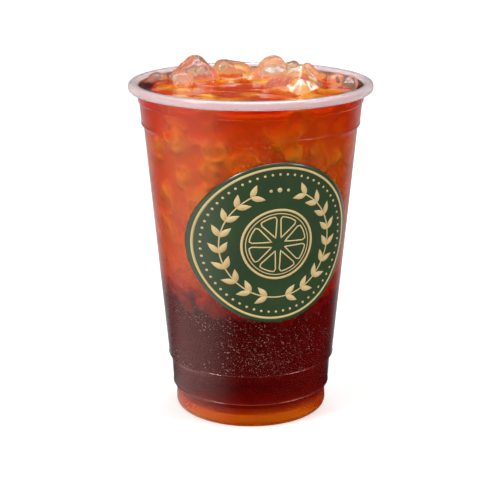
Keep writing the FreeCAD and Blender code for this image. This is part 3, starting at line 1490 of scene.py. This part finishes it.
@dataclass
class Studio:
    """A pale floor, soft light all round, and the camera."""
    ambient: float = 0.55
    floor_tone: float = 0.8
    floor_top_up: float = 0.40
    far_top_up: float = 0.75
    # A painted glow on the floor under the cup and a painted shadow round it, which only views
    # through clear material see.
    under_glow: float = 1.0
    painted_shadow_strength: float = 0.75
    # The level that the backdrop falls to when it is seen through clear material after a
    # reflection: painted shade.
    shade_after_reflection: float = 0.6
    floor_size: float = 8.0
    # The pattern that only reflections see on the floor, a painted reflection: a dim ground, a
    # bright band on the left and a brighter part behind.
    dim: float = 0.015
    band: float = 0.6
    edge: float = 0.42
    # The sky that only reflections see, a painted reflection: dim, a little brighter near the
    # horizon, with a bright cap overhead that lights nothing and paints highlights.
    sky: float = 0.05
    horizon: float = 0.10
    overhead_highlight: float = 5.0
    lamps: tuple = (
        ("key", (-1.05, -0.75, 1.0), 0.4, 11.0),
        ("fill", (1.1, -0.5, 0.7), 0.5, 5.0),
        ("top", (0.15, 0.5, 1.3), 0.5, 4.0),
    )
    camera_place: tuple = (0.0, -0.5582, 0.23042)
    camera_pitch: float = math.radians(73.607)
    lens: float = 101.14
    sensor: float = 36.0
    nearest: float = 0.01
    shift: float = -0.00149
    floor_drop: float = 0.05 * MM
    bounces: int = 24
    # Heights of the painted reflection sky: where its horizon fades, and where its bright overhead
    # cap starts.
    low_sky: Point = (0.06, 0.30)
    high_sky: Point = (0.80, 0.90)
    far: Point = (0.4, 2.2)
    # Where the painted reflection band rises and falls round the cup, its least share, and where
    # the brighter part behind starts.
    band_rise: Point = (math.radians(-125), math.radians(-80))
    band_fall: Point = (math.radians(-62), math.radians(-8))
    band_least: float = 0.15
    edge_rise: Point = (math.radians(112), math.radians(150))
    # Where the painted shadow at the foot and near the cup lies, and the painted glow under the
    # cup, dimmer toward the front.
    foot_edge: Point = (0.031, 0.038)
    foot_shade: float = 0.24
    painted_shadow: Point = (0.06, 0.40)
    foot_front: Point = (-0.028, -0.010)
    front_glow: float = 0.2
    under_edge: Point = (0.027, 0.031)

    def world(self) -> None:
        """White behind the object, and an even light on it. Reflections see their own sky instead:
        dim, a little brighter low down, with a bright cap overhead that lights nothing, a painted
        reflection that paints highlights; and the backdrop seen through clear material after a
        reflection is dimmed, a painted shade.
        """
        world = bpy.data.worlds.new("studio")
        bpy.context.scene.world = world
        world.use_nodes = True
        world.node_tree.nodes.clear()
        shader = Shader(world.node_tree)
        way = shader.node("ShaderNodeTexCoord").outputs["Generated"]
        split = shader.node("ShaderNodeSeparateXYZ", {0: way})
        path = shader.node("ShaderNodeLightPath")
        # Painted shade: what is seen through clear material after a reflection gets a dimmer
        # backdrop.
        straight = shader.ranged(path.outputs["Glossy Depth"], 0.0, 1.0, 1.0,
                                 self.shade_after_reflection)
        through = path.outputs["Is Transmission Ray"]
        seen = shader.larger(path.outputs["Is Camera Ray"], shader.times(through, straight))
        # Painted reflection: reflections see their own dim sky with a bright cap overhead instead
        # of the even light, and it lights nothing.
        glossy = shader.times(path.outputs["Is Glossy Ray"], shader.rest(through))
        low = shader.ranged(split.outputs["Z"], *self.low_sky, self.horizon, self.sky)
        low = shader.plus(low, shader.ranged(split.outputs["Z"], *self.high_sky, 0.0,
                                             self.overhead_highlight))
        matte = shader.times(shader.rest(path.outputs["Is Glossy Ray"]), self.ambient)
        strength = shader.larger(seen, shader.larger(matte, shader.times(glossy, low)))
        white = shader.node("ShaderNodeBackground", {"Color": WHITE, "Strength": strength})
        shader.node("ShaderNodeOutputWorld", {"Surface": white.outputs[0]})

    def floor(self) -> Object:
        """A pale floor that stays white to the eye and keeps the shadow. Reflections see a painted
        pattern on it instead of its shading, and views through clear material see only painted
        light: a painted shadow round the foot and near the cup, and a painted glow under the cup.
        """
        half = self.floor_size / 2
        mesh = bpy.data.meshes.new("floor")
        level = -self.floor_drop
        mesh.from_pydata([(-half, -half, level), (half, -half, level), (half, half, level),
                          (-half, half, level)], [], [(0, 1, 2, 3)])
        material, shader = new_material("pale_floor")
        tone = self.floor_tone
        matte = shader.node("ShaderNodeBsdfDiffuse", {"Color": (tone, tone, tone, 1)})
        path = shader.node("ShaderNodeLightPath")
        through = path.outputs["Is Transmission Ray"]
        seen = shader.larger(path.outputs["Is Camera Ray"], through)
        seen = shader.larger(seen, path.outputs["Is Glossy Ray"])
        split = shader.node("ShaderNodeSeparateXYZ", {0: shader.place()}).outputs
        flat = shader.node("ShaderNodeCombineXYZ", {"X": split["X"], "Y": split["Y"]})
        away = shader.node("ShaderNodeVectorMath", {0: flat.outputs[0]},
                           operation="LENGTH").outputs["Value"]
        far = shader.ranged(away, *self.far, self.floor_top_up, self.far_top_up)
        glow = shader.node("ShaderNodeEmission", {"Color": WHITE,
                                                  "Strength": shader.times(seen, far)})
        pale = shader.node("ShaderNodeAddShader", {0: matte.outputs[0], 1: glow.outputs[0]})
        # Painted reflection: reflections see this pattern round the cup instead of the lit floor
        # and its shadow. It is bright on the left, brighter behind, and dim elsewhere.
        angle = shader.math("ARCTAN2", split["X"], shader.times(split["Y"], -1.0))
        rising = shader.ranged(angle, *self.band_rise, self.band_least, 1.0)
        falling = shader.ranged(angle, *self.band_fall, 1.0, 0.0)
        edge = shader.ranged(shader.math("ABSOLUTE", angle), *self.edge_rise)
        painted_reflection = shader.plus(shader.times(shader.times(rising, falling), self.band),
                          shader.plus(shader.times(edge, self.edge), self.dim))
        painted_reflection_glow = shader.node("ShaderNodeEmission", {"Color": WHITE, "Strength": painted_reflection})
        mix = shader.node("ShaderNodeMixShader", {0: path.outputs["Is Glossy Ray"],
                                                  1: pale.outputs[0], 2: painted_reflection_glow.outputs[0]})
        # Painted shadow: views through clear material see the floor darker at the foot and near the
        # cup, with no lamp casting it.
        painted_foot_shadow = shader.ranged(away, *self.foot_edge, self.foot_shade, 1.0)
        painted_shadow = shader.times(painted_foot_shadow, shader.ranged(away, *self.painted_shadow,
                                                           self.painted_shadow_strength, 1.0))
        straight = shader.ranged(path.outputs["Glossy Depth"], 0.0, 1.0, 1.0, 0.0)
        around = shader.plus(shader.times(painted_shadow, straight),
                             shader.times(painted_reflection, shader.rest(straight)))
        # Painted glow: a patch of floor under the cup shines for views through clear material,
        # dimmer toward its front; it is no lamp.
        middle = shader.ranged(split["Y"], *self.foot_front, self.front_glow, 1.0)
        under = shader.times(middle, shader.ranged(away, *self.under_edge, self.under_glow, 0.0))
        painted_floor_light = shader.node("ShaderNodeEmission", {"Color": WHITE,
                                                   "Strength": shader.larger(around, under)})
        # Views through clear material see only this painted light, not the floor's shading.
        total = shader.node("ShaderNodeMixShader", {0: through, 1: mix.outputs[0],
                                                    2: painted_floor_light.outputs[0]})
        shader.node("ShaderNodeOutputMaterial", {"Surface": total.outputs[0]})
        mesh.materials.append(material)
        floor = new_object("floor", mesh)
        return floor

    def light(self) -> None:
        """The soft lamps, each turned to the object's middle."""
        middle = Vector((0.0, 0.0, CAD_BOUNDS[1][2] / 2))
        for name, place, size, power in self.lamps:
            data = bpy.data.lights.new(name, "AREA")
            data.shape = "SQUARE"
            data.size = size
            data.energy = power
            lamp = bpy.data.objects.new(name, data)
            lamp.location = place
            lamp.rotation_euler = (middle - Vector(place)).to_track_quat("-Z", "Y").to_euler()
            bpy.context.scene.collection.objects.link(lamp)

    def camera(self) -> None:
        """The camera, a little above the rim and looking down on it."""
        data = bpy.data.cameras.new("camera")
        data.lens = self.lens
        data.sensor_width = self.sensor
        data.shift_x = self.shift
        data.clip_start = self.nearest
        camera = bpy.data.objects.new("camera", data)
        camera.location = self.camera_place
        camera.rotation_euler = (self.camera_pitch, 0.0, 0.0)
        bpy.context.scene.collection.objects.link(camera)
        bpy.context.scene.camera = camera

    def build(self) -> None:
        """Sets up the whole studio, with light paths long enough for glass in tea."""
        scene = bpy.context.scene
        scene.view_settings.view_transform = "Standard"
        scene.cycles.max_bounces = self.bounces
        scene.cycles.transmission_bounces = self.bounces
        scene.cycles.transparent_max_bounces = self.bounces
        scene.cycles.glossy_bounces = 6
        scene.cycles.diffuse_bounces = 3
        self.world()
        self.floor()
        self.light()
        self.camera()


# --- all of it


def report(piece: Object) -> None:
    """Logs a piece and how many faces it has."""
    LOG.info("%s: %d faces", piece.name, len(piece.data.polygons))


def main() -> None:
    """Builds the studio and every piece."""
    Studio().build()
    groups = {"melt": melt_group(), "fog": fog_group(), "ink": ink_group()}
    dress = {finish: finish.value.build(groups) for finish in Finish}
    cup = Cup.from_frame()
    _, brim = node_box("drink")
    report(cup.build(dress))
    lumps = StandingIce().build(dress)
    pieces = lumps + [
        Drink(cup, brim.z, lumps).build(dress),
        SunkIce(cup, brim.z).build(dress),
        Condensation(cup).build(dress),
        *Badge.from_frame(cup).build(dress),
    ]
    for piece in pieces:
        report(piece)


if __name__ == "__main__":
    logging.basicConfig(level=logging.INFO, format="%(message)s")
    main()
